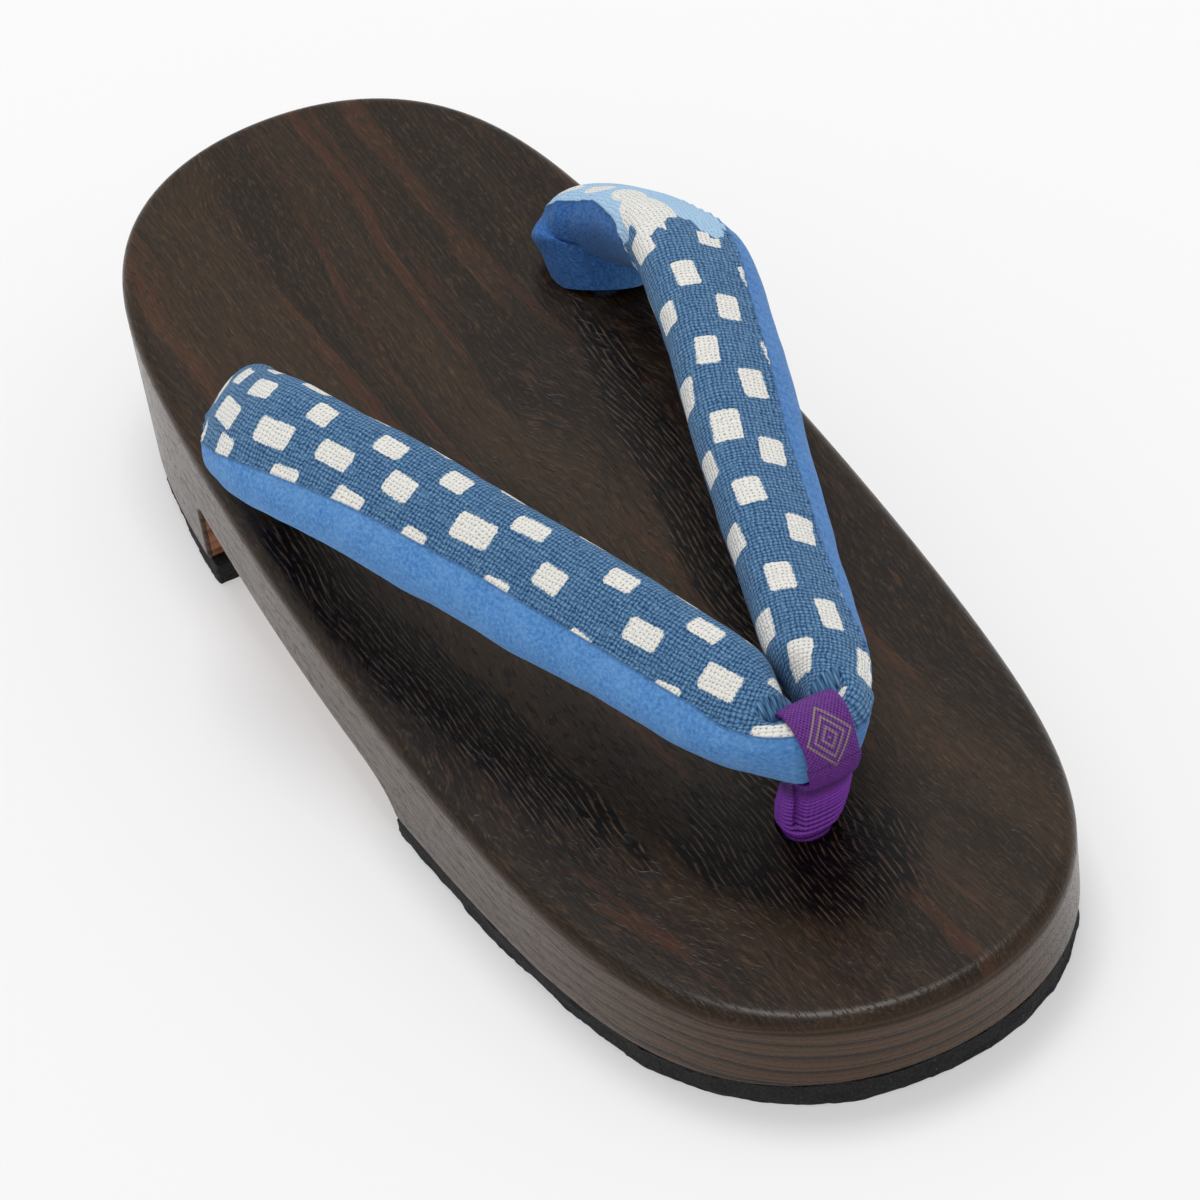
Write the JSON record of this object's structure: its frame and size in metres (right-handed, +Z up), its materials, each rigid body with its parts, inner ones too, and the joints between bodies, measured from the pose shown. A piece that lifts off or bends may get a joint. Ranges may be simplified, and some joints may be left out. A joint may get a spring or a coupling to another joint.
{
  "type": "geta sandal",
  "caption": "Carved wooden sandal with a heel block, an arched underside, rubber treads and a padded V strap held by a ribbon toe loop.",
  "frame": {"origin": "on the ground, under the middle of the wooden base", "axes": "+Z up, +Y towards the toe, +X to the wearer's right"},
  "size_m": [0.097, 0.24, 0.059],
  "materials": {
    "dark_wood": "burnished, semi-gloss",
    "black_rubber": "rough",
    "printed_cotton": "woven cotton, matte",
    "purple_ribbon": "ribbed, satin",
    "cord": "matte"
  },
  "bodies": {
    "root": {"wooden_base": "dark_wood", "forefoot_tread": "black_rubber", "heel_tread": "black_rubber", "padded_strap": "printed_cotton", "toe_loop": "purple_ribbon", "heel_cord_right": "cord", "heel_cord_left": "cord"}
  },
  "joints": []
}
